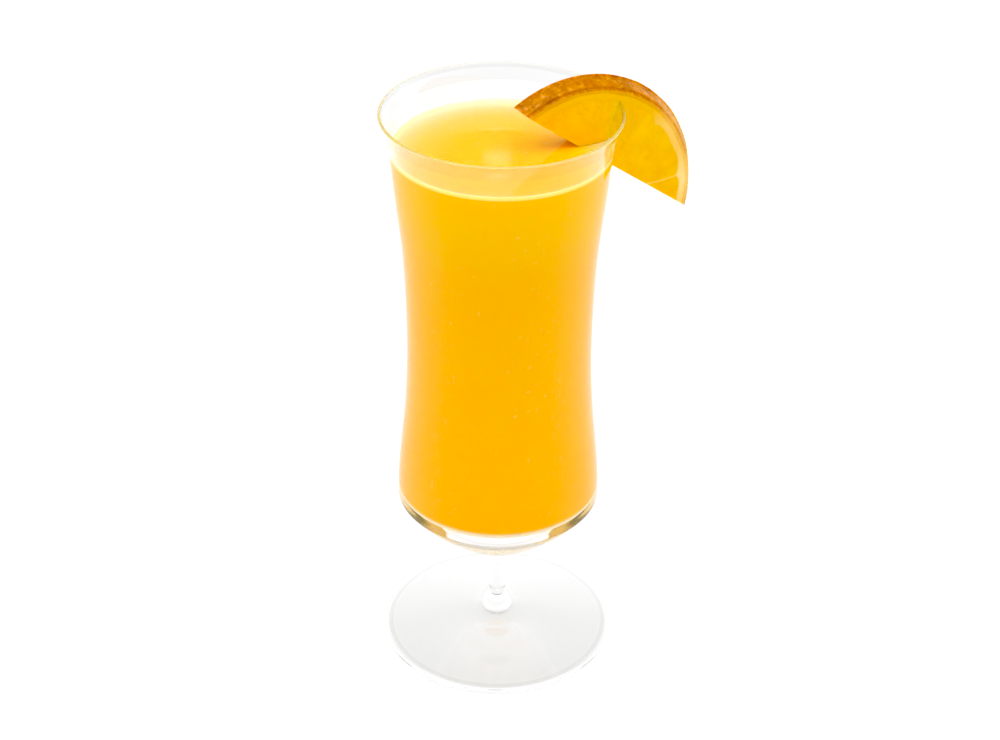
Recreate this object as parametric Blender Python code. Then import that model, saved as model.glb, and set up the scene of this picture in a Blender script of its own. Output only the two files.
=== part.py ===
"""Tall stemmed glass of orange juice with a slice of orange on its rim.

Metres, +Z up. The origin is the centre of the foot's flat underside, on the
glass's own axis. +X points to the side that carries the orange slice.
Every round piece is turned about Z from a profile that is worked out here.
"""
import math

import bmesh
import bpy
import numpy as np
from mathutils import Vector

MM = 0.001
SIDES = 56                       # facets round the glass

# --- glass: heights are above the table, radii from the axis, all in mm
RIM_Z = 194.8                    # top of the lip
LIP_THICKNESS = 1.7              # fire-polished bead round the mouth
WALL = 1.25                      # bowl wall in its upper half
WALL_LOW = 1.60                  # bowl wall at the bulge
# outer radius of the bowl at each depth below the rim: flared mouth, waist, bulge
BOWL_DEPTHS = (0.0, 5.0, 12.0, 25.0, 45.0, 65.0, 85.0, 105.0, 136.8)
BOWL_RADII = (37.40, 35.40, 34.05, 32.80, 30.65, 29.65, 29.50, 30.55, 33.00)
BULGE_Z = RIM_Z - BOWL_DEPTHS[-1]
UNDER_REACH = 28.0               # how far in the bowl's underside curves
UNDER_DROP = 24.0                # how far it drops from the bulge to the stem
UNDER_POWER = 1.15               # 1 is a cone, 2 an ellipse
INNER_Z = 62.5                   # where the hollow starts to close
INNER_DROP = 6.5                 # depth of its rounded floor
INNER_POWER = 2.3
STEM_RADIUS = 2.85
STEM_TOP_Z = 33.6                # end of the fillet under the bowl
STEM_FOOT_Z = 15.8               # where the stem starts to widen into the foot
HUB_RADIUS = 12.0
HUB_Z = 8.5
HUB_RISE, HUB_FLARE = 5.0, 1.2
FOOT_FLAT_RADIUS = 36.8          # start of the foot's rounded edge
FOOT_EDGE = 1.6                  # half the foot's thickness at its edge
FOOT_RADIUS = 38.6

# --- juice
JUICE_Z = 182.5                  # level
GAP = 0.3                        # clearance between neighbouring pieces

# --- orange slice: part of a disc, standing in the mouth on a slit in its flesh
SLICE_CENTRE = (24.6, 4.7, 163.7)
SLICE_YAW = 25.8                 # degrees, the slice's plane about Z
SLICE_TILT = 38.9                # degrees, its straight edge falls outwards
SLICE_LEAN = 2.7                 # degrees, out of the upright
SLICE_THICKNESS = 6.4
SLICE_R_FRONT = 36.45            # rind's outer radius on the front face
SLICE_R_BACK = 39.40             # and on the back, nearer the fruit's middle
CHORD_LEFT = 12.4                # straight cut edge, distance from the centre
CHORD_SLIT = 13.7
CHORD_RIGHT = 15.3
SLIT_CLEAR = 0.35                # slit's clearance on each side of the wall


def clean_scene():
    for obj in list(bpy.data.objects):
        bpy.data.objects.remove(obj, do_unlink=True)


def natural_spline(xs, ys):
    """Cubic through the points: free at the first end, level at the last."""
    n = len(xs)
    h = [xs[i + 1] - xs[i] for i in range(n - 1)]
    a = np.zeros((n, n))
    b = np.zeros(n)
    a[0, 0] = 1.0
    for i in range(1, n - 1):
        a[i, i - 1], a[i, i], a[i, i + 1] = h[i - 1], 2 * (h[i - 1] + h[i]), h[i]
        b[i] = 6 * ((ys[i + 1] - ys[i]) / h[i] - (ys[i] - ys[i - 1]) / h[i - 1])
    a[-1, -2], a[-1, -1] = h[-1], 2 * h[-1]
    b[-1] = 6 * (0.0 - (ys[-1] - ys[-2]) / h[-1])
    m = np.linalg.solve(a, b)

    def at(x):
        i = min(max(int(np.searchsorted(xs, x)) - 1, 0), n - 2)
        t = x - xs[i]
        slope = (ys[i + 1] - ys[i]) / h[i] - h[i] * (2 * m[i] + m[i + 1]) / 6
        return ys[i] + slope * t + m[i] / 2 * t * t + (m[i + 1] - m[i]) / (6 * h[i]) * t ** 3

    return at


bowl_radius = natural_spline(BOWL_DEPTHS, BOWL_RADII)


def wall(depth):
    """Wall thickness of the bowl at a depth below the rim."""
    lip = (LIP_THICKNESS - WALL) * math.exp(-(depth / 2.2) ** 2)
    low = (WALL_LOW - WALL) * max(0.0, (depth - 60.0) / 76.8) ** 2
    return WALL + lip + low


def rounded_floor(radius, z, drop, power, steps):
    """Superellipse from the axis at z - drop out to radius at z."""
    pts = []
    for i in range(steps + 1):
        t = math.pi / 2 * (1 - i / steps)
        pts.append((radius * max(math.cos(t), 0.0) ** (2 / power), z - drop * math.sin(t) ** (2 / power)))
    pts[0] = (0.0, z - drop)
    return pts


def inner_profile(offset, top_z, steps_floor=6, steps_wall=10):
    """Inside of the bowl, from the axis up to top_z, moved inwards by offset."""
    depth = RIM_Z - INNER_Z
    pts = rounded_floor(bowl_radius(depth) - wall(depth) - offset, INNER_Z, INNER_DROP - offset, INNER_POWER, steps_floor)
    top = RIM_Z - top_z
    for i in range(1, steps_wall + 1):
        k = i / steps_wall
        d = depth + (top - depth) * (1 - (1 - k) ** 1.35)   # closer together where the mouth flares
        pts.append((bowl_radius(d) - wall(d) - offset, RIM_Z - d))
    return pts


def outer_profile():
    """Outside of the glass, from under the lip down to the middle of the foot."""
    start = LIP_THICKNESS / 2
    pts = []
    for i in range(13):
        k = i / 12
        d = start + (BOWL_DEPTHS[-1] - start) * k ** 1.35
        pts.append((bowl_radius(d), RIM_Z - d))
    for i in range(1, 8):                                   # underside of the bowl
        t = math.pi / 2 * i / 8
        r = BOWL_RADII[-1] - UNDER_REACH + UNDER_REACH * math.cos(t) ** (2 / UNDER_POWER)
        pts.append((r, BULGE_Z - UNDER_DROP * math.sin(t) ** (2 / UNDER_POWER)))
    r0, z0 = pts[-1]
    for z in (STEM_TOP_Z, STEM_TOP_Z - 1.8, STEM_TOP_Z - 4.6):
        pts.append((STEM_RADIUS + (r0 - STEM_RADIUS) * math.exp(-(z0 - z) / 2.0), z))
    pts.append((STEM_RADIUS, STEM_FOOT_Z + 1.0))
    for i in range(7):                                      # stem widens into the hub
        r = STEM_RADIUS + (HUB_RADIUS - STEM_RADIUS) * (i / 6) ** 1.8
        k = (FOOT_FLAT_RADIUS - r) / (FOOT_FLAT_RADIUS - HUB_RADIUS)
        z = 2 * FOOT_EDGE + (HUB_Z - 2 * FOOT_EDGE) * k ** 1.15 + HUB_RISE * math.exp(-(r - STEM_RADIUS) / HUB_FLARE)
        pts.append((r, z))
    for i in range(1, 5):                                   # shallow cone of the foot
        r = HUB_RADIUS + (FOOT_FLAT_RADIUS - HUB_RADIUS) * i / 4
        k = (FOOT_FLAT_RADIUS - r) / (FOOT_FLAT_RADIUS - HUB_RADIUS)
        pts.append((r, 2 * FOOT_EDGE + (HUB_Z - 2 * FOOT_EDGE) * k ** 1.15))
    for i in range(1, 7):                                   # rounded edge
        a = math.pi / 2 - math.pi * i / 6
        pts.append((FOOT_FLAT_RADIUS + (FOOT_RADIUS - FOOT_FLAT_RADIUS) * math.cos(a), FOOT_EDGE + FOOT_EDGE * math.sin(a)))
    pts.append((0.0, 0.0))                                  # flat underside
    return pts


def lip_profile(inner_end, outer_start):
    """Half-round bead that joins the inside to the outside of the wall."""
    a, b = Vector(inner_end), Vector(outer_start)
    mid, half = (a + b) / 2, (b - a) / 2
    up = Vector((-half.y, half.x))
    if up.y < 0:
        up = -up
    return [tuple(mid - half * math.cos(math.pi * i / 5) + up * math.sin(math.pi * i / 5)) for i in range(1, 5)]


def material(name, colour, roughness, transmission=0.0, ior=1.45):
    mat = bpy.data.materials.new(name)
    mat.use_nodes = True
    bsdf = mat.node_tree.nodes["Principled BSDF"]
    bsdf.inputs["Base Color"].default_value = (*colour, 1.0)
    bsdf.inputs["Roughness"].default_value = roughness
    bsdf.inputs["Metallic"].default_value = 0.0
    bsdf.inputs["Transmission Weight"].default_value = transmission
    bsdf.inputs["IOR"].default_value = ior
    mat.diffuse_color = (*colour, 1.0)
    return mat


def new_object(name, mesh, mat=None, cutter=False):
    obj = bpy.data.objects.new(name, mesh)
    bpy.context.scene.collection.objects.link(obj)
    if mat:
        mesh.materials.append(mat)
    if cutter:
        obj.hide_render = True
        obj.display_type = "WIRE"
    return obj


def turned(name, profile, mat=None, cutter=False):
    """Turn a profile of (radius, height) points in mm about Z with Screw."""
    mesh = bpy.data.meshes.new(name)
    verts = [(r * MM, 0.0, z * MM) for r, z in profile]
    closed = profile[0][0] > 0 and profile[-1][0] > 0
    edges = [(i, i + 1) for i in range(len(verts) - 1)] + ([(len(verts) - 1, 0)] if closed else [])
    mesh.from_pydata(verts, edges, [])
    obj = new_object(name, mesh, mat, cutter)
    screw = obj.modifiers.new("Turn", "SCREW")
    screw.axis = "Z"
    screw.steps = SIDES
    screw.render_steps = SIDES
    screw.use_merge_vertices = True
    screw.merge_threshold = 0.00001
    screw.use_smooth_shade = True
    return obj


def slice_axes():
    yaw, tilt, lean = (math.radians(a) for a in (SLICE_YAW, SLICE_TILT, SLICE_LEAN))
    level = Vector((math.cos(yaw), math.sin(yaw), 0.0))
    normal = Vector((math.sin(yaw), -math.cos(yaw), 0.0)) * math.cos(lean) + Vector((0, 0, 1)) * math.sin(lean)
    up = level.cross(normal) * -1.0
    if up.z < 0:
        up = -up
    along = level * math.cos(tilt) - up * math.sin(tilt)
    across = level * math.sin(tilt) + up * math.cos(tilt)
    return along, across, normal


def slice_outline(radius, inset, arc_steps=34, chord_steps=4):
    """Closed outline in the slice's plane: the rind's arc, then the cut edge."""
    left, slit, right = CHORD_LEFT + inset, CHORD_SLIT + inset, CHORD_RIGHT + inset
    a0 = math.pi - math.asin(left / radius)
    a1 = math.asin(right / radius)
    pts = []
    for i in range(arc_steps + 1):
        a = a0 + (a1 - a0) * i / arc_steps
        pts.append((radius * math.cos(a), radius * math.sin(a)))
    start, middle, end = pts[-1], (-2.0, slit), pts[0]
    for i in range(1, chord_steps + 1):
        k = i / chord_steps
        pts.append((start[0] + (middle[0] - start[0]) * k, start[1] + (middle[1] - start[1]) * k))
    for i in range(1, chord_steps):
        k = i / chord_steps
        pts.append((middle[0] + (end[0] - middle[0]) * k, middle[1] + (end[1] - middle[1]) * k))
    return pts


def slice_solid(name, grow, mat=None, cutter=False):
    """Loft of the outline through the slice's thickness; the rind follows the fruit's sphere."""
    along, across, normal = slice_axes()
    centre = Vector(SLICE_CENTRE)
    half = SLICE_THICKNESS / 2
    # the fruit's radius, from the two cut faces
    drop = (SLICE_R_BACK ** 2 - SLICE_R_FRONT ** 2 - SLICE_THICKNESS ** 2) / (2 * SLICE_THICKNESS)
    fruit = math.hypot(SLICE_R_BACK, drop)
    stations = ((half, 0.35), (half - 0.35, 0.0), (half * 0.45, 0.0), (-half * 0.2, 0.0), (-half + 0.35, 0.0), (-half, 0.35))
    bm = bmesh.new()
    rings = []
    for n, bevel in stations:
        radius = math.sqrt(fruit ** 2 - (drop + half + n) ** 2) - bevel + grow
        n += grow if n > 0 and abs(n) == half else (-grow if abs(n) == half else 0.0)
        ring = []
        for u, w in slice_outline(radius, bevel - grow):
            ring.append(bm.verts.new((centre + along * u + across * w + normal * n) * MM))
        rings.append(ring)
    count = len(rings[0])
    for a, b in zip(rings, rings[1:]):
        for i in range(count):
            j = (i + 1) % count
            bm.faces.new((a[i], a[j], b[j], b[i]))
    bm.faces.new(rings[0])
    bm.faces.new(list(reversed(rings[-1])))
    bmesh.ops.recalc_face_normals(bm, faces=bm.faces)
    mesh = bpy.data.meshes.new(name)
    bm.to_mesh(mesh)
    bm.free()
    obj = new_object(name, mesh, mat, cutter)
    mesh.shade_smooth()
    mesh.set_sharp_from_angle(angle=math.radians(35))
    return obj


def cut(obj, cutter):
    mod = obj.modifiers.new("Cut_" + cutter.name, "BOOLEAN")
    mod.operation = "DIFFERENCE"
    mod.solver = "EXACT"
    mod.object = cutter


def main():
    clean_scene()
    clear = material("clear_glass", (0.98, 0.98, 0.97), 0.02, 1.0, 1.5)
    drink = material("orange_juice", (0.98, 0.55, 0.01), 0.25)
    fruit = material("orange_flesh", (0.97, 0.58, 0.03), 0.4)

    inside = inner_profile(0.0, RIM_Z - LIP_THICKNESS / 2)
    outside = outer_profile()
    turned("glass", inside + lip_profile(inside[-1], outside[0]) + outside, clear)

    # juice fills the hollow up to its level and leaves room for the slice
    body = inner_profile(GAP, JUICE_Z)
    fill = [(0.0, JUICE_Z)] + list(reversed(body))
    juice = turned("juice", fill, drink)
    room = slice_solid("room_for_slice", GAP, cutter=True)
    cut(juice, room)

    # the slice's slit takes the bowl's wall and its lip
    orange = slice_solid("orange_slice", 0.0, fruit)
    top = RIM_Z + SLIT_CLEAR
    depths = [LIP_THICKNESS / 2] + [d for d in (2.0, 4.0, 7.0, 11.0, 16.0, 22.0, 30.0)]
    outer_line = [(bowl_radius(d) + SLIT_CLEAR, RIM_Z - d) for d in depths]
    inner_line = [(bowl_radius(d) - wall(d) - SLIT_CLEAR, RIM_Z - d) for d in depths]
    half = (outer_line[0][0] - inner_line[0][0]) / 2
    crown = [(inner_line[0][0] + half - half * math.cos(math.pi * i / 4),
              RIM_Z - depths[0] + (top - RIM_Z + depths[0]) * math.sin(math.pi * i / 4)) for i in range(1, 4)]
    slit = turned("slit_for_wall", crown + outer_line + list(reversed(inner_line)), cutter=True)
    cut(orange, slit)


main()
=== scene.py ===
import math

import bmesh
import bpy
import numpy as np
from mathutils import Matrix, Vector


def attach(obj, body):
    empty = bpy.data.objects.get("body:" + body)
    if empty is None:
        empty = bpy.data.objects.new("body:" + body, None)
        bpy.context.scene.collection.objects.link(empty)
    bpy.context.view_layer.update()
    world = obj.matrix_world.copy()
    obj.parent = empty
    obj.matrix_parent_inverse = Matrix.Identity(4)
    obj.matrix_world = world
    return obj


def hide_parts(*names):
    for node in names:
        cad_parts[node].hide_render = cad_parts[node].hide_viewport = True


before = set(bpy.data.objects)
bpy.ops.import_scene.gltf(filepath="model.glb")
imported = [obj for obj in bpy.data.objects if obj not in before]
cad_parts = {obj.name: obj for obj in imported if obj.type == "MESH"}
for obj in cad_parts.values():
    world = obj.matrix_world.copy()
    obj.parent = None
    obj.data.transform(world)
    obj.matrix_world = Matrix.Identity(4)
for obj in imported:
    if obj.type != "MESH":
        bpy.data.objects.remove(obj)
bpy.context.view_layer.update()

# ------------------------------------------------------------------ sizes, in mm, as in the CAD
MM = 0.001
RIM_Z = 194.8
LIP_THICKNESS = 1.05
WALL = 1.00
WALL_LOW = 1.60
BOWL_DEPTHS = (0.0, 5.0, 12.0, 25.0, 45.0, 65.0, 85.0, 105.0, 136.8)
BOWL_RADII = (37.40, 35.40, 34.05, 32.80, 30.65, 29.65, 29.50, 30.55, 33.00)
BULGE_Z = RIM_Z - BOWL_DEPTHS[-1]
UNDER_REACH, UNDER_DROP, UNDER_POWER = 28.0, 24.0, 1.15
INNER_Z, INNER_DROP, INNER_POWER = 62.5, 6.5, 2.3
STEM_RADIUS = 2.85
STEM_FOOT_Z = 15.8
HUB_RADIUS, HUB_Z, HUB_RISE, HUB_FLARE = 12.0, 8.5, 5.0, 1.2
FOOT_FLAT_RADIUS, FOOT_EDGE, FOOT_RADIUS = 36.8, 1.6, 38.6
JUICE_Z = 182.5
SLICE_CENTRE = np.array((24.6, 4.7, 163.7))
SLICE_YAW, SLICE_TILT, SLICE_LEAN = 25.8, 38.9, 2.7
SLICE_THICKNESS = 6.4
SLICE_R_FRONT, SLICE_R_BACK = 36.45, 39.40
CHORD_LEFT, CHORD_SLIT, CHORD_RIGHT = 12.4, 13.7, 15.3
SLIT_CLEAR = -0.45
RIND_ROUND = 1.1


# ------------------------------------------------------------------ small tools
def link(obj):
    bpy.context.scene.collection.objects.link(obj)
    return obj


def spline(xs, ys):
    """Cubic through the points: free at the first end, level at the last."""
    n = len(xs)
    h = [xs[i + 1] - xs[i] for i in range(n - 1)]
    a, b = np.zeros((n, n)), np.zeros(n)
    a[0, 0] = 1.0
    for i in range(1, n - 1):
        a[i, i - 1], a[i, i], a[i, i + 1] = h[i - 1], 2 * (h[i - 1] + h[i]), h[i]
        b[i] = 6 * ((ys[i + 1] - ys[i]) / h[i] - (ys[i] - ys[i - 1]) / h[i - 1])
    a[-1, -2], a[-1, -1] = h[-1], 2 * h[-1]
    b[-1] = 6 * (0.0 - (ys[-1] - ys[-2]) / h[-1])
    m = np.linalg.solve(a, b)

    def at(x):
        i = min(max(int(np.searchsorted(xs, x)) - 1, 0), n - 2)
        t = x - xs[i]
        slope = (ys[i + 1] - ys[i]) / h[i] - h[i] * (2 * m[i] + m[i + 1]) / 6
        return ys[i] + slope * t + m[i] / 2 * t * t + (m[i + 1] - m[i]) / (6 * h[i]) * t ** 3

    return at


bowl_radius = spline(BOWL_DEPTHS, BOWL_RADII)


def wall(depth):
    lip = (LIP_THICKNESS - WALL) * math.exp(-(depth / 2.2) ** 2)
    low = (WALL_LOW - WALL) * max(0.0, (depth - 60.0) / 76.8) ** 2
    return WALL + lip + low


def smoothstep(a, b, x):
    t = np.clip((x - a) / (b - a), 0.0, 1.0)
    return t * t * (3 - 2 * t)


def lathe(name, profile, sides, floor_first=False):
    """Turns (radius, height) points in mm about Z into one smooth closed mesh."""
    verts, faces, rings = [], [], []
    for r, z in profile:
        if r < 1e-6:
            rings.append([len(verts)])
            verts.append((0.0, 0.0, z * MM))
        else:
            rings.append(list(range(len(verts), len(verts) + sides)))
            for k in range(sides):
                a = 2 * math.pi * k / sides
                verts.append((r * math.cos(a) * MM, r * math.sin(a) * MM, z * MM))
    bands = []
    for i, (a, b) in enumerate(zip(rings, rings[1:])):
        for k in range(sides):
            j = (k + 1) % sides
            loop = [a[k % len(a)], a[j % len(a)], b[j % len(b)], b[k % len(b)]]
            clean = [v for n, v in enumerate(loop) if v not in loop[:n]]
            if len(clean) > 2:
                faces.append(clean)
                bands.append(i)
    mesh = bpy.data.meshes.new(name)
    mesh.from_pydata(verts, [], faces)
    mesh.validate()
    bm = bmesh.new()
    bm.from_mesh(mesh)
    bmesh.ops.recalc_face_normals(bm, faces=bm.faces)
    bm.to_mesh(mesh)
    bm.free()
    mesh.shade_smooth()
    return link(bpy.data.objects.new(name, mesh)), bands


# ------------------------------------------------------------------ materials
def new_material(name):
    mat = bpy.data.materials.new(name)
    mat.use_nodes = True
    tree = mat.node_tree
    return mat, tree, tree.nodes["Principled BSDF"], tree.nodes["Material Output"]


def node(tree, kind, inputs=None, **settings):
    n = tree.nodes.new(kind)
    for k, v in settings.items():
        setattr(n, k, v)
    for k, v in (inputs or {}).items():
        n.inputs[k].default_value = v
    return n


def mix_colour(tree, factor, a, b, blend="MIX"):
    m = node(tree, "ShaderNodeMix", data_type="RGBA", blend_type=blend)
    for socket, value in ((m.inputs["Factor"], factor), (m.inputs["A"], a), (m.inputs["B"], b)):
        if isinstance(value, bpy.types.NodeSocket):
            tree.links.new(value, socket)
        elif isinstance(value, (int, float)):
            socket.default_value = value
        else:
            socket.default_value = (*value, 1.0)
    return m.outputs["Result"]


def lin(r, g, b):
    """Linear colour from 0 to 255 display values."""
    return tuple(((c / 255) / 12.92 if c / 255 <= 0.04045 else ((c / 255 + 0.055) / 1.055) ** 2.4) for c in (r, g, b))


def glass_material(name, tint, roughness, bend):
    mat, tree, bsdf, out = new_material(name)
    bsdf.inputs["Base Color"].default_value = (*tint, 1.0)
    bsdf.inputs["Roughness"].default_value = roughness
    bsdf.inputs["IOR"].default_value = bend
    bsdf.inputs["Transmission Weight"].default_value = 1.0
    bsdf.inputs["Specular IOR Level"].default_value = 0.45
    # lamps reach what is behind the glass, and soft light leaves it, unbent
    path = node(tree, "ShaderNodeLightPath")
    surface = bsdf.outputs[0]
    for kind in ("Is Diffuse Ray", "Is Shadow Ray"):
        clear = node(tree, "ShaderNodeBsdfTransparent")
        mix = node(tree, "ShaderNodeMixShader")
        tree.links.new(path.outputs[kind], mix.inputs[0])
        tree.links.new(surface, mix.inputs[1])
        tree.links.new(clear.outputs[0], mix.inputs[2])
        surface = mix.outputs[0]
    tree.links.new(surface, out.inputs["Surface"])
    # slow waviness of the drawn glass, far too shallow to see except in reflections
    coords = node(tree, "ShaderNodeTexCoord")
    noise = node(tree, "ShaderNodeTexNoise", {"Scale": 45.0, "Detail": 1.0})
    bump = node(tree, "ShaderNodeBump", {"Strength": 0.03, "Distance": 0.0004})
    tree.links.new(coords.outputs["Object"], noise.inputs["Vector"])
    tree.links.new(noise.outputs["Fac"], bump.inputs["Height"])
    tree.links.new(bump.outputs["Normal"], bsdf.inputs["Normal"])
    return mat


def juice_material(name, roughness, specular):
    """Cloudy juice: fine pulp clouds in the colour, with painted light where the juice is thin, towards the top and at
    the wall, and painted shade underneath.
    """
    mat, tree, bsdf, out = new_material(name)
    coords = node(tree, "ShaderNodeTexCoord")
    cloud = node(tree, "ShaderNodeTexNoise", {"Scale": 60.0, "Detail": 4.0, "Roughness": 0.6})
    pulp = node(tree, "ShaderNodeTexNoise", {"Scale": 900.0, "Detail": 2.0, "Roughness": 0.5})
    tree.links.new(coords.outputs["Object"], cloud.inputs["Vector"])
    tree.links.new(coords.outputs["Object"], pulp.inputs["Vector"])
    deep, light, thin = JUICE_DEEP, JUICE_LIGHT, JUICE_THIN
    body = mix_colour(tree, cloud.outputs["Fac"], deep, light)
    # painted light: the juice's sides turn lighter and yellower towards the top
    top_light = node(tree, "ShaderNodeAttribute", attribute_name="top_light")
    body = mix_colour(tree, top_light.outputs["Fac"], body, JUICE_TOP_LIGHT)
    speck = node(tree, "ShaderNodeMapRange", {"From Min": 0.62, "From Max": 0.80, "To Min": 0.0, "To Max": 0.35})
    tree.links.new(pulp.outputs["Fac"], speck.inputs["Value"])
    body = mix_colour(tree, speck.outputs["Result"], body, thin)
    # painted light where the juice is thin
    film_light = node(tree, "ShaderNodeAttribute", attribute_name="film_light")
    body = mix_colour(tree, film_light.outputs["Fac"], body, thin)
    glow = node(tree, "ShaderNodeAttribute", attribute_name="glow")
    body = mix_colour(tree, glow.outputs["Fac"], body, JUICE_EDGE)
    # painted shade: the juice's underside dim and brownish, with a darker ring
    under = node(tree, "ShaderNodeAttribute", attribute_name="under")
    body = mix_colour(tree, under.outputs["Fac"], body, JUICE_UNDER_SHADE)
    tree.links.new(body, bsdf.inputs["Base Color"])
    bsdf.inputs["Roughness"].default_value = roughness
    bsdf.inputs["IOR"].default_value = 1.34
    bsdf.inputs["Specular IOR Level"].default_value = specular
    bsdf.inputs["Subsurface Weight"].default_value = 0.9
    bsdf.inputs["Subsurface Radius"].default_value = (1.0, 0.55, 0.12)
    bsdf.inputs["Subsurface Scale"].default_value = 0.006
    return mat


JUICE_DEEP = (0.925, 0.425, 0.001)
JUICE_LIGHT = (0.935, 0.465, 0.002)
JUICE_TOP_LIGHT = (0.93, 0.52, 0.001)
JUICE_THIN = (0.97, 0.74, 0.28)
JUICE_EDGE = (0.93, 0.81, 0.60)
JUICE_UNDER_SHADE = (0.17, 0.11, 0.035)


# ------------------------------------------------------------------ glass
def inner_wall(offset, top_z, steps_floor, steps_wall):
    depth = RIM_Z - INNER_Z
    radius = bowl_radius(depth) - wall(depth) + offset
    pts = []
    for i in range(steps_floor + 1):
        t = math.pi / 2 * (1 - i / steps_floor)
        pts.append((radius * max(math.cos(t), 0.0) ** (2 / INNER_POWER),
                    INNER_Z - (INNER_DROP + offset) * math.sin(t) ** (2 / INNER_POWER)))
    pts[0] = (0.0, pts[0][1])
    top = RIM_Z - top_z
    for i in range(1, steps_wall + 1):
        k = i / steps_wall
        d = depth + (top - depth) * (1 - (1 - k) ** 1.3)
        pts.append((bowl_radius(d) - wall(d) + offset, RIM_Z - d))
    return pts


def build_glass():
    start = LIP_THICKNESS / 2
    inside = inner_wall(0.0, RIM_Z - start, 40, 90)
    outside = []
    for i in range(91):
        d = start + (BOWL_DEPTHS[-1] - start) * (i / 90) ** 1.3
        outside.append((bowl_radius(d), RIM_Z - d))
    a, b = Vector(inside[-1]), Vector(outside[0])
    mid, half = (a + b) / 2, (b - a) / 2
    up = Vector((-half.y, half.x))
    if up.y < 0:
        up = -up
    lip = [tuple(mid - half * math.cos(math.pi * i / 12) + up * math.sin(math.pi * i / 12)) for i in range(1, 12)]
    under = 44
    for i in range(1, under):
        t = math.pi / 2 * i / under
        r = BOWL_RADII[-1] - UNDER_REACH + UNDER_REACH * math.cos(t) ** (2 / UNDER_POWER)
        z = BULGE_Z - UNDER_DROP * math.sin(t) ** (2 / UNDER_POWER)
        if r < 6.6:
            break
        outside.append((r, z))
    r0, z0 = outside[-1]
    for i in range(1, 31):                      # fillet into the stem
        z = z0 - (z0 - STEM_FOOT_Z) * (i / 30) ** 1.7
        outside.append((STEM_RADIUS + (r0 - STEM_RADIUS) * math.exp(-(z0 - z) / 2.0), z))
    for i in range(1, 61):                      # stem spreads through the hub into the foot's shallow cone
        r = STEM_RADIUS + (FOOT_FLAT_RADIUS - STEM_RADIUS) * (i / 60) ** 1.9
        k = (FOOT_FLAT_RADIUS - r) / (FOOT_FLAT_RADIUS - HUB_RADIUS)
        z = 2 * FOOT_EDGE + (HUB_Z - 2 * FOOT_EDGE) * k ** 1.15 + HUB_RISE * math.exp(-(r - STEM_RADIUS) / HUB_FLARE)
        outside.append((r, z))
    for i in range(1, 17):                      # rounded edge
        t = math.pi / 2 - math.pi * i / 16
        outside.append((FOOT_FLAT_RADIUS + (FOOT_RADIUS - FOOT_FLAT_RADIUS) * math.cos(t), FOOT_EDGE + FOOT_EDGE * math.sin(t)))
    outside.append((34.6, 0.0))
    for i in range(1, 25):                      # pressed hollow under the foot
        r = 34.6 * (1 - i / 24)
        outside.append((r, 1.6 * (1 - (r / 34.6) ** 2) ** 1.3))
    profile = inside + lip + outside
    obj, bands = lathe("glass_body", profile, 192)
    obj.data.materials.append(glass_material("clear_glass", (0.976, 0.979, 0.978), 0.0, 1.5))
    # the lip and the line where the foot turns over get darker glass: painted shade for the dark lines these edges
    # show; the lip's glass is rougher too
    obj.data.materials.append(glass_material("glass_lip_painted_shade", (0.80, 0.81, 0.78), 0.30, 1.5))
    obj.data.materials.append(glass_material("glass_foot_painted_shade", (0.84, 0.845, 0.84), 0.03, 1.5))
    edge = [1 if len(inside) - 1 <= i < len(inside) + len(lip) else 2 if 35.5 < r < 37.1 and z > 2.0 else 0
            for i, (r, z) in enumerate(profile)]
    index = np.array([edge[i] for i in bands], np.int32)
    index.resize(len(obj.data.polygons))
    obj.data.polygons.foreach_set("material_index", index)
    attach(obj, "root")
    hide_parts("glass")
    return obj


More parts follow.
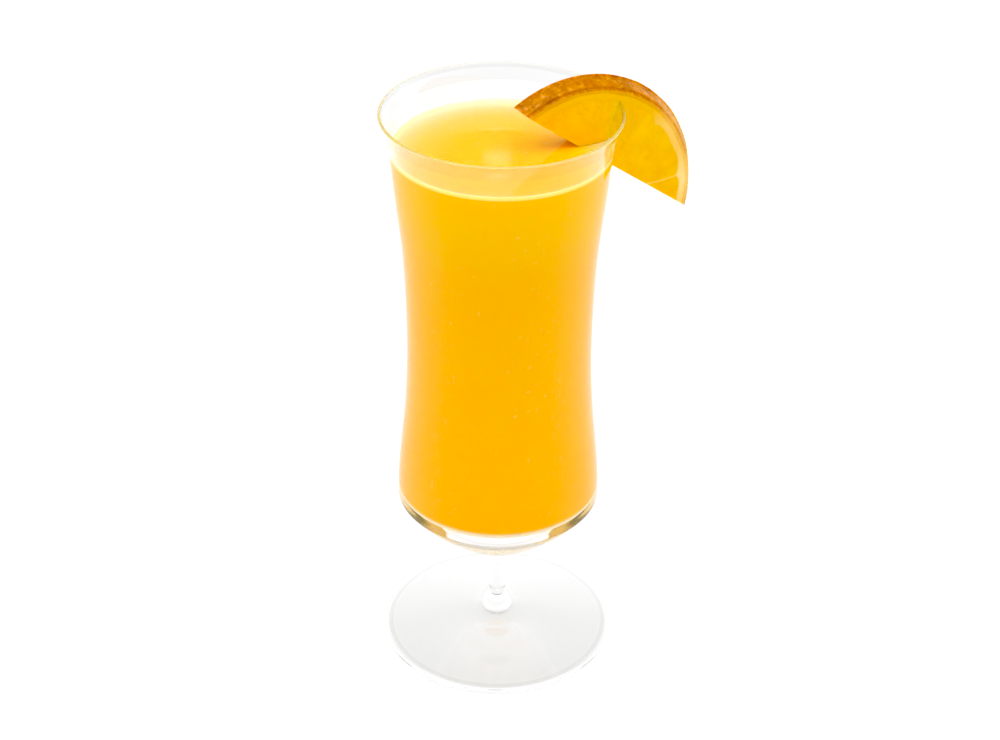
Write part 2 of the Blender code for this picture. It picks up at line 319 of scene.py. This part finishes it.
# ------------------------------------------------------------------ juice
def build_juice():
    reach = 0.22                                # into the wall, so that no air gap shows
    side = inner_wall(reach, JUICE_Z + 1.15, 40, 110)
    side[-1] = (side[-1][0], JUICE_Z + 1.15)
    rim = side[-1][0]
    top = []
    for i in range(1, 15):                      # meniscus climbs the wall
        x = 2.6 * (i / 14) ** 1.4
        top.append((rim - x, JUICE_Z + 1.15 * math.exp(-x / 0.62)))
    for i in range(1, 33):
        top.append(((rim - 2.6) * (1 - i / 32), JUICE_Z))
    top[-1] = (0.0, JUICE_Z)
    obj, bands = lathe("juice_body", side + top, 192)
    mesh = obj.data
    mesh.materials.append(juice_material("juice_in_glass", 0.6, 0.0))
    mesh.materials.append(juice_material("juice_surface", 0.045, 0.5))
    first_top = len(side) - 1
    co = np.empty(len(mesh.vertices) * 3, np.float32)
    mesh.vertices.foreach_get("co", co)
    co = co.reshape(-1, 3) / MM
    r = np.hypot(co[:, 0], co[:, 1])
    on_top = co[:, 2] >= JUICE_Z - 0.01
    depth = np.maximum(rim - r, 0.0)
    # light that comes in through the wall glows in the juice next to it, most at the back
    facing = smoothstep(-1.0, 0.9, co[:, 1] / np.maximum(r, 1.0))
    # painted light: the juice made paler along the meniscus, and near the wall at the front of the surface, where it
    # is thin
    film_light = np.where(on_top, smoothstep(3.0, 0.4, depth) * 0.6 * (1 - facing), 0.8 * smoothstep(1.8, 0.0, JUICE_Z + 1.15 - co[:, 2]))
    glow = 0.95 * np.exp(-depth / 5.3) * (1 - smoothstep(14.0, 24.0, depth)) * (0.10 + 0.90 * facing)
    # where the thick base shows the juice's underside: painted shade, dim and brownish with a darker ring as a painted
    # shadow, inside a lighter line at its edge that is painted light; the sides also darken a little towards the
    # bottom as painted shade
    z = co[:, 2]
    low_edge_light = 0.80 * smoothstep(62.3, 60.9, z) * smoothstep(58.8, 59.8, z)
    glow = np.where(on_top, glow, np.where(z < 59.3, 0.25, low_edge_light))
    ring = smoothstep(19.0, 20.8, r) * smoothstep(24.4, 22.6, r)
    under = np.where(z < 59.3, 0.20 + 0.72 * ring, 0.0) * smoothstep(59.3, 58.6, z) + 0.05 * smoothstep(150.0, 70.0, z)
    # painted light: the sides lighter and yellower towards the top
    top_light = np.where(on_top, 0.0, 0.85 * smoothstep(145.0, 176.0, z))
    for label, values in (("film_light", film_light), ("glow", glow), ("under", under), ("top_light", top_light)):
        attr = mesh.attributes.new(label, "FLOAT", "POINT")
        attr.data.foreach_set("value", values.astype(np.float32))
    index = np.zeros(len(mesh.polygons), np.int32)
    index[: len(bands)] = (np.array(bands) >= first_top).astype(np.int32)
    mesh.polygons.foreach_set("material_index", index)
    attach(obj, "root")
    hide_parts("juice")
    return obj


# ------------------------------------------------------------------ orange slice
def slice_axes():
    yaw, tilt, lean = (math.radians(a) for a in (SLICE_YAW, SLICE_TILT, SLICE_LEAN))
    level = np.array((math.cos(yaw), math.sin(yaw), 0.0))
    normal = np.array((math.sin(yaw), -math.cos(yaw), 0.0)) * math.cos(lean) + np.array((0, 0, 1.0)) * math.sin(lean)
    up = -np.cross(level, normal)
    if up[2] < 0:
        up = -up
    return (level * math.cos(tilt) - up * math.sin(tilt), level * math.sin(tilt) + up * math.cos(tilt), normal)


ALONG, ACROSS, NORMAL = slice_axes()
HALF = SLICE_THICKNESS / 2
DROP = (SLICE_R_BACK ** 2 - SLICE_R_FRONT ** 2 - SLICE_THICKNESS ** 2) / (2 * SLICE_THICKNESS)
FRUIT = math.hypot(SLICE_R_BACK, DROP)


def rind_radius(n):
    """Outer radius of the fruit at n from the slice's middle, towards the front face."""
    return np.sqrt(FRUIT ** 2 - (DROP + HALF + n) ** 2)


def outline(s, k, radius, inset=0.0):
    """Point of the slice's plane: s from 0 at the left tip to 1 at the right, k from 0 on the cut edge to 1 on the rind."""
    left, slit, right = CHORD_LEFT + inset, CHORD_SLIT + inset, CHORD_RIGHT + inset
    a0 = math.pi - math.asin(left / radius)
    a1 = math.asin(right / radius)
    a = a0 + (a1 - a0) * s
    arc = np.array((radius * np.cos(a), radius * np.sin(a)))
    p0, p2 = (radius * math.cos(a0), left), (radius * math.cos(a1), right)
    # the cut edge runs evenly along, a little bent at the slit
    u = p0[0] + (p2[0] - p0[0]) * (0.5 - 0.5 * np.cos(math.pi * s))
    w = np.interp(u, (p0[0], -2.0, p2[0]), (left, slit, right))
    chord = np.array((u, w))
    return chord + (arc - chord) * k


def cells(x, y, seed):
    """Jittered cells: distance to the nearest and the second centre, and the nearest one's random number."""
    rng = np.random.default_rng(seed)
    table = rng.random((64, 64, 3))
    gx, gy = np.floor(x).astype(int), np.floor(y).astype(int)
    best, second, value = np.full(x.shape, 9.0), np.full(x.shape, 9.0), np.zeros(x.shape)
    for dx in (-1, 0, 1):
        for dy in (-1, 0, 1):
            t = table[(gx + dx) % 64, (gy + dy) % 64]
            d = np.hypot(gx + dx + 0.15 + 0.7 * t[..., 0] - x, gy + dy + 0.15 + 0.7 * t[..., 1] - y)
            closer = d < best
            second = np.where(closer, best, np.minimum(second, d))
            value = np.where(closer, t[..., 2], value)
            best = np.where(closer, d, best)
    return best, second, value


MEMBRANES = (-63.0, -27.5, 9.0, 46.5)           # degrees from the slice's upright, one wall between each two segments


def flesh_fields(u, w, n):
    """What the cut shows at a point: zest, pith or membrane, and the juice cells."""
    r = np.hypot(u, w)
    theta = np.degrees(np.arctan2(u, w))
    inside = rind_radius(n) - r
    wobble = 0.22 * np.sin(np.radians(theta) * 9.0 + 1.0) + 0.14 * np.sin(np.radians(theta) * 23.0)
    zest = 1.0 - smoothstep(1.15, 1.75, inside + 0.4 * wobble)
    # each segment ends in rounded corners against the pith
    gap = np.full(r.shape, 99.0)
    for a in MEMBRANES:
        drift = a + 1.2 * np.sin(r / 5.0 + a)
        gap = np.minimum(gap, np.abs(np.radians(theta - drift)) * r)
    corner = 1.5 * np.exp(-gap / 1.6)
    pith = 1.0 - smoothstep(2.9, 3.9, inside - corner + wobble)
    web = 0.5 * (1.0 - smoothstep(0.10, 0.42, gap))
    membrane = np.maximum(pith, web)
    # juice cells point at the fruit's middle
    bend = 1.2 * np.sin(r / 4.0 + theta / 9.0)
    a, b = np.radians(theta) * 26.0 / 1.55 + 0.35 * bend, r / 3.9 + 0.5 * np.sin(theta / 5.0)
    near, far, value = cells(a + 100.0, b + 100.0, 7)
    edge = 1.0 - smoothstep(0.0, 0.22, far - near)
    return zest, membrane, edge, value, near, inside


def pores(arc, across, seed=3):
    near, far, value = cells(arc / 1.25 + 50.0, across / 1.25 + 50.0, seed)
    return near, value


def slice_material():
    mat, tree, bsdf, out = new_material("orange_fruit")
    coords = node(tree, "ShaderNodeTexCoord")

    def field(name):
        return node(tree, "ShaderNodeAttribute", attribute_name=name).outputs["Fac"]

    def noise(scale, detail=3.0, rough=0.55):
        n = node(tree, "ShaderNodeTexNoise", {"Scale": scale, "Detail": detail, "Roughness": rough})
        tree.links.new(coords.outputs["Object"], n.inputs["Vector"])
        return n.outputs["Fac"]

    def remap(value, low, high, to_low=0.0, to_high=1.0):
        m = node(tree, "ShaderNodeMapRange", {"From Min": low, "From Max": high, "To Min": to_low, "To Max": to_high})
        tree.links.new(value, m.inputs["Value"])
        return m.outputs["Result"]

    flesh = mix_colour(tree, field("cell"), (0.86, 0.465, 0.002), (0.89, 0.52, 0.004))
    flesh = mix_colour(tree, remap(noise(170.0), 0.35, 0.7, 0.0, 0.7), flesh, (0.80, 0.395, 0.002))
    flesh = mix_colour(tree, remap(noise(75.0, 2.0), 0.5, 0.72, 0.0, 0.5), flesh, (0.92, 0.57, 0.006))
    flesh = mix_colour(tree, remap(field("edge"), 0.0, 1.0, 0.0, 0.22), flesh, (0.88, 0.56, 0.02))
    pith = mix_colour(tree, noise(260.0), (0.80, 0.44, 0.012), (0.84, 0.49, 0.03))
    # painted highlight: the pith paler on the slice's right side
    pith = mix_colour(tree, field("right_highlight"), pith, (0.97, 0.73, 0.34))
    cut = mix_colour(tree, remap(field("membrane"), 0.0, 1.0, 0.0, 0.85), flesh, pith)
    rind = mix_colour(tree, remap(noise(300.0, 4.0, 0.6), 0.36, 0.64), (0.35, 0.080, 0.001), (0.58, 0.205, 0.006))
    rind = mix_colour(tree, remap(noise(110.0, 2.0), 0.40, 0.66, 0.0, 0.6), rind, (0.58, 0.185, 0.005))
    # light specks on the rind: painted highlights
    rind = mix_colour(tree, remap(noise(650.0, 2.0), 0.50, 0.78, 0.0, 0.6), rind, (0.86, 0.44, 0.09))
    rind = mix_colour(tree, remap(field("pore"), 0.0, 1.0, 0.0, 0.4), rind, (0.40, 0.11, 0.001))
    # painted highlight: the rind paler on the right side
    rind = mix_colour(tree, remap(field("right_highlight"), 0.1, 1.0, 0.0, 0.85), rind, (0.95, 0.56, 0.13))
    zest = mix_colour(tree, noise(420.0), (0.58, 0.27, 0.003), (0.74, 0.38, 0.008))
    # painted highlight: the zest paler on the right side
    zest = mix_colour(tree, remap(field("right_highlight"), 0.0, 1.0, 0.0, 0.8), zest, (0.93, 0.60, 0.18))
    cut = mix_colour(tree, field("zest"), cut, zest)
    colour = mix_colour(tree, field("skin"), cut, rind)
    tree.links.new(colour, bsdf.inputs["Base Color"])
    rough = remap(noise(500.0), 0.3, 0.7, 0.24, 0.42)
    tree.links.new(rough, bsdf.inputs["Roughness"])
    bsdf.inputs["IOR"].default_value = 1.38
    bsdf.inputs["Specular IOR Level"].default_value = 0.4
    bsdf.inputs["Subsurface Weight"].default_value = 0.7
    bsdf.inputs["Subsurface Radius"].default_value = (1.0, 0.5, 0.1)
    bsdf.inputs["Subsurface Scale"].default_value = 0.003
    bump = node(tree, "ShaderNodeBump", {"Strength": 0.25, "Distance": 0.0002})
    tree.links.new(noise(1500.0, 3.0, 0.6), bump.inputs["Height"])
    tree.links.new(bump.outputs["Normal"], bsdf.inputs["Normal"])
    return mat


def build_slice():
    along_n, across_n = 230, 84
    rind_rows = 27
    s = np.linspace(0.0, 1.0, along_n + 1)
    k = 1.0 - (1.0 - np.linspace(0.0, 1.0, across_n + 1)) ** 1.15
    verts, faces = [], []

    def face_grid(n, radius, flip):
        first = len(verts)
        for i in range(along_n + 1):
            pts = [outline(s[i], kk, radius) for kk in k]
            verts.extend((p[0], p[1], n) for p in pts)
        rows = across_n + 1
        for i in range(along_n):
            for j in range(across_n):
                q = [first + i * rows + j, first + (i + 1) * rows + j, first + (i + 1) * rows + j + 1, first + i * rows + j + 1]
                faces.append(q[::-1] if flip else q)
        return first

    rows = across_n + 1
    front = face_grid(HALF, float(rind_radius(HALF)), False)
    back = face_grid(-HALF, float(rind_radius(-HALF)), True)

    def band(kk, j, count):
        """Wall from the front grid's edge row j to the back one's, at outline position kk."""
        prev = [front + i * rows + j for i in range(along_n + 1)]
        for m in range(1, count + 1):
            n = (HALF - (RIND_ROUND if kk == 1.0 else 0.0)) * (1 - 2 * m / count)
            if m == count:
                row = [back + i * rows + j for i in range(along_n + 1)]
            else:
                row = []
                radius = float(rind_radius(n))
                for i in range(along_n + 1):
                    p = outline(s[i], kk, radius)
                    row.append(len(verts))
                    verts.append((p[0], p[1], n))
            for i in range(along_n):
                q = [prev[i], prev[i + 1], row[i + 1], row[i]]
                faces.append(q if kk == 1.0 else q[::-1])
            prev = row

    band(1.0, across_n, rind_rows)
    band(0.0, 0, rind_rows)
    co = np.array(verts)
    world = SLICE_CENTRE + co[:, :1] * ALONG + co[:, 1:2] * ACROSS + co[:, 2:] * NORMAL
    mesh = bpy.data.meshes.new("orange_slice_cut")
    mesh.from_pydata((world * MM).tolist(), [], faces)
    bm = bmesh.new()
    bm.from_mesh(mesh)
    bmesh.ops.remove_doubles(bm, verts=bm.verts, dist=0.00001)
    bmesh.ops.dissolve_degenerate(bm, edges=bm.edges, dist=0.000005)
    bmesh.ops.recalc_face_normals(bm, faces=bm.faces)
    bm.to_mesh(mesh)
    bm.free()
    obj = link(bpy.data.objects.new("orange_slice_cut", mesh))

    # slit that takes the glass: a short stretch of the wall, a little thinner than it, so that the flesh reaches into
    # the glass
    depths = [LIP_THICKNESS / 2] + [1.6 + 27.0 * (i / 16) for i in range(17)]
    outer = [(bowl_radius(d) + SLIT_CLEAR, RIM_Z - d) for d in depths]
    inner = [(bowl_radius(d) - wall(d) - SLIT_CLEAR, RIM_Z - d) for d in depths]
    half = (outer[0][0] - inner[0][0]) / 2
    crown = [(inner[0][0] + half - half * math.cos(math.pi * i / 8),
              RIM_Z - depths[0] + (depths[0] + SLIT_CLEAR) * math.sin(math.pi * i / 8)) for i in range(1, 8)]
    ring = crown + outer + inner[::-1]
    cv, cf = [], []
    turns = [math.radians(-12 + 60 * i / 40) for i in range(41)]
    for a in turns:
        cv.extend((r * math.cos(a) * MM, r * math.sin(a) * MM, z * MM) for r, z in ring)
    m = len(ring)
    for i in range(len(turns) - 1):
        for j in range(m):
            cf.append((i * m + j, i * m + (j + 1) % m, (i + 1) * m + (j + 1) % m, (i + 1) * m + j))
    cf.append(tuple(range(m)))
    cf.append(tuple(reversed(range((len(turns) - 1) * m, len(turns) * m))))
    cutter_mesh = bpy.data.meshes.new("slit_cutter")
    cutter_mesh.from_pydata(cv, [], cf)
    bm = bmesh.new()
    bm.from_mesh(cutter_mesh)
    bmesh.ops.recalc_face_normals(bm, faces=bm.faces)
    bm.to_mesh(cutter_mesh)
    bm.free()
    cutter = link(bpy.data.objects.new("slit_cutter", cutter_mesh))
    mod = obj.modifiers.new("slit", "BOOLEAN")
    mod.operation = "DIFFERENCE"
    mod.solver = "EXACT"
    mod.object = cutter
    bpy.context.view_layer.update()
    done = bpy.data.meshes.new_from_object(obj.evaluated_get(bpy.context.evaluated_depsgraph_get()))
    obj.modifiers.clear()
    bpy.data.objects.remove(cutter)
    bpy.data.objects.remove(obj)
    done.name = "orange_slice_fruit"
    obj = link(bpy.data.objects.new("orange_slice_fruit", done))
    mesh = obj.data

    co = np.empty(len(mesh.vertices) * 3, np.float32)
    mesh.vertices.foreach_get("co", co)
    p = co.reshape(-1, 3).astype(float) / MM - SLICE_CENTRE
    u, w, n = p @ ALONG, p @ ACROSS, p @ NORMAL
    zest, membrane, edge, value, near, inside = flesh_fields(u, w, n)
    r = np.hypot(u, w)
    theta = np.arctan2(u, w)
    on_face = np.abs(n) > HALF - 0.02
    # painted highlight: the right side of the slice made paler
    right_highlight = smoothstep(-0.05, 0.60, theta) * (0.72 + 0.28 * np.sin(theta * 9.0))
    skin = smoothstep(0.75, 0.30, inside)
    pore_near, pore_value = pores(theta * 37.0, n * 1.0)
    pore = smoothstep(0.42, 0.12, pore_near) * (0.4 + 0.6 * pore_value)
    # relief of the cut faces: cells bulge, walls stand up a little, zest and pith stay level
    level = (1 - membrane) * (0.05 * (0.6 - near) - 0.10 * edge) + 0.05 * membrane
    level = level * (1 - zest) * smoothstep(0.0, 0.8, inside)
    short = np.clip(RIND_ROUND - inside, 0.0, RIND_ROUND)      # rounded edge of the rind
    soft = np.sqrt(RIND_ROUND ** 2 - short ** 2) - RIND_ROUND
    shift = np.where(on_face, np.sign(n) * (level + soft), 0.0)
    push = np.where(inside < 0.05, -0.14 * pore + 0.10 * np.sin(theta * 17.0 + n) * 0.5, 0.0)
    move = shift[:, None] * NORMAL + (push / np.maximum(r, 1e-6))[:, None] * (u[:, None] * ALONG + w[:, None] * ACROSS)
    new = (p + move + SLICE_CENTRE) * MM
    mesh.vertices.foreach_set("co", new.astype(np.float32).ravel())
    for name, values in (("zest", zest), ("membrane", membrane), ("edge", edge), ("cell", value), ("skin", skin), ("pore", pore), ("right_highlight", right_highlight)):
        attr = mesh.attributes.new(name, "FLOAT", "POINT")
        attr.data.foreach_set("value", np.asarray(values, np.float32))
    mesh.update()
    mesh.shade_smooth()
    mesh.set_sharp_from_angle(angle=math.radians(50))
    mesh.materials.clear()
    mesh.materials.append(slice_material())
    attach(obj, "root")
    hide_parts("orange_slice")
    return obj


# ------------------------------------------------------------------ studio
def ramp(tree, value, stops):
    """Brightness along value, through (place, brightness) stops."""
    n = node(tree, "ShaderNodeValToRGB")
    n.color_ramp.interpolation = "LINEAR"
    points = n.color_ramp.elements
    while len(points) < len(stops):
        points.new(0.5)
    for point, (place, level) in zip(points, stops):
        point.position = place
        point.color = (level, level, level, 1.0)
    tree.links.new(value, n.inputs["Fac"])
    return n.outputs["Color"]


def studio():
    """White table and a white tent round it, dimmer high up behind the glass."""
    bm = bmesh.new()
    bmesh.ops.create_circle(bm, cap_ends=True, segments=96, radius=4.0)
    mesh = bpy.data.meshes.new("floor")
    bm.to_mesh(mesh)
    bm.free()
    floor = link(bpy.data.objects.new("floor", mesh))
    floor.location = (0, 0, -0.0002)
    mat, tree, bsdf, out = new_material("pale_floor")
    bsdf.inputs["Base Color"].default_value = (FLOOR_SHADE, FLOOR_SHADE, FLOOR_SHADE, 1.0)
    bsdf.inputs["Roughness"].default_value = 0.9
    bsdf.inputs["Specular IOR Level"].default_value = 0.0
    bsdf.inputs["Emission Color"].default_value = (1.0, 1.0, 1.0, 1.0)
    bsdf.inputs["Emission Strength"].default_value = FLOOR_LIGHT
    # the table is a little darker in the foot's contact shadow, most at the front
    coords = node(tree, "ShaderNodeTexCoord")
    length = node(tree, "ShaderNodeVectorMath", operation="LENGTH")
    part = node(tree, "ShaderNodeSeparateXYZ")
    tree.links.new(coords.outputs["Object"], length.inputs[0])
    tree.links.new(coords.outputs["Object"], part.inputs[0])
    under = node(tree, "ShaderNodeMapRange", {"From Min": 0.0388, "From Max": 0.0350}, interpolation_type="SMOOTHSTEP")
    ahead = node(tree, "ShaderNodeMapRange", {"From Min": 0.032, "From Max": -0.036, "To Min": 0.005, "To Max": 0.22})
    shade = node(tree, "ShaderNodeMath", operation="MULTIPLY")
    light = node(tree, "ShaderNodeMath", {1: -FLOOR_LIGHT, 2: FLOOR_LIGHT}, operation="MULTIPLY_ADD")
    tree.links.new(length.outputs["Value"], under.inputs["Value"])
    tree.links.new(part.outputs[1], ahead.inputs["Value"])
    tree.links.new(under.outputs["Result"], shade.inputs[0])
    tree.links.new(ahead.outputs["Result"], shade.inputs[1])
    tree.links.new(shade.outputs[0], light.inputs[0])
    tree.links.new(light.outputs[0], bsdf.inputs["Emission Strength"])
    mat.cycles.emission_sampling = "NONE"
    floor.data.materials.append(mat)

    world = bpy.data.worlds.new("studio")
    bpy.context.scene.world = world
    world.use_nodes = True
    tree = world.node_tree
    background = tree.nodes["Background"]
    coords = node(tree, "ShaderNodeTexCoord")
    part = node(tree, "ShaderNodeSeparateXYZ")
    tree.links.new(coords.outputs["Generated"], part.inputs[0])
    x, y, z = part.outputs
    back = ramp(tree, z, TENT_BACK)
    front = ramp(tree, z, TENT_FRONT)
    turn = node(tree, "ShaderNodeMapRange", {"From Min": -0.35, "From Max": 0.35})
    tree.links.new(y, turn.inputs["Value"])
    level = mix_colour(tree, turn.outputs["Result"], front, back)
    side = node(tree, "ShaderNodeMath", operation="MULTIPLY")
    tree.links.new(x, side.inputs[0])
    tree.links.new(x, side.inputs[1])
    gain = node(tree, "ShaderNodeMath", {1: TENT_SIDE, 2: 1.0}, operation="MULTIPLY_ADD")
    tree.links.new(side.outputs[0], gain.inputs[0])
    tree.links.new(level, background.inputs["Color"])
    tree.links.new(gain.outputs[0], background.inputs["Strength"])

    # small lamp far behind the glass: its glint lies on the juice
    eye = Vector((0.0, -601.3536, 480.1868)) * MM
    spot = Vector((-1.2, -6.6, JUICE_Z)) * MM
    away = (spot - eye).normalized()
    away.z = -away.z
    data = bpy.data.lights.new("glint", "AREA")
    data.shape = "ELLIPSE"
    data.size, data.size_y = 0.030, 0.013
    data.energy = 0.0019
    lamp = link(bpy.data.objects.new("glint", data))
    lamp.location = spot + away * 1.6
    lamp.rotation_euler = (-away).to_track_quat("-Z", "Y").to_euler()


FLOOR_LIGHT, FLOOR_SHADE = 1.02, 0.05
TENT_BACK = ((0.0, 0.95), (0.08, 1.0), (0.18, 1.25), (0.45, 0.90), (0.60, 0.46), (0.90, 0.40), (1.0, 0.9))
TENT_FRONT = ((0.0, 0.40), (0.08, 0.44), (0.18, 0.56), (0.60, 0.73), (0.75, 1.05), (0.88, 4.5), (1.0, 4.5))
TENT_SIDE = 0.60


def camera():
    distance, height, heading, pitch, roll, focal = 601.3536, 480.1868, 0.000489, 0.559410, 0.0096081, 2210.744
    forward = Vector((math.sin(heading) * math.cos(pitch), math.cos(heading) * math.cos(pitch), -math.sin(pitch)))
    right = forward.cross(Vector((0, 0, 1))).normalized()
    up = right.cross(forward)
    right2 = math.cos(roll) * right + math.sin(roll) * up
    up2 = -math.sin(roll) * right + math.cos(roll) * up
    pose = Matrix((right2, up2, -forward)).transposed().to_4x4()
    pose.translation = Vector((0, -distance * MM, height * MM))
    data = bpy.data.cameras.new("camera")
    data.sensor_width = 36.0
    data.lens = 36.0 * focal / 1000.0
    data.clip_start = 0.01
    obj = link(bpy.data.objects.new("camera", data))
    obj.matrix_world = pose
    bpy.context.scene.camera = obj


camera()
build_glass()
build_juice()
build_slice()
studio()
view = bpy.context.scene.view_settings
view.view_transform = "Standard"
view.look = "None"
view.use_curve_mapping = True                   # a camera's strong colour: the deep blues of orange clip to none
view.curve_mapping.black_level = (0.0, 0.0, 0.058)
view.curve_mapping.update()

light = bpy.context.scene.cycles                # glass needs many bounces, or its edges turn black
light.max_bounces = 40
light.diffuse_bounces = 6
light.glossy_bounces = 24
light.transmission_bounces = 32
light.transparent_max_bounces = 32

bpy.context.view_layer.update()
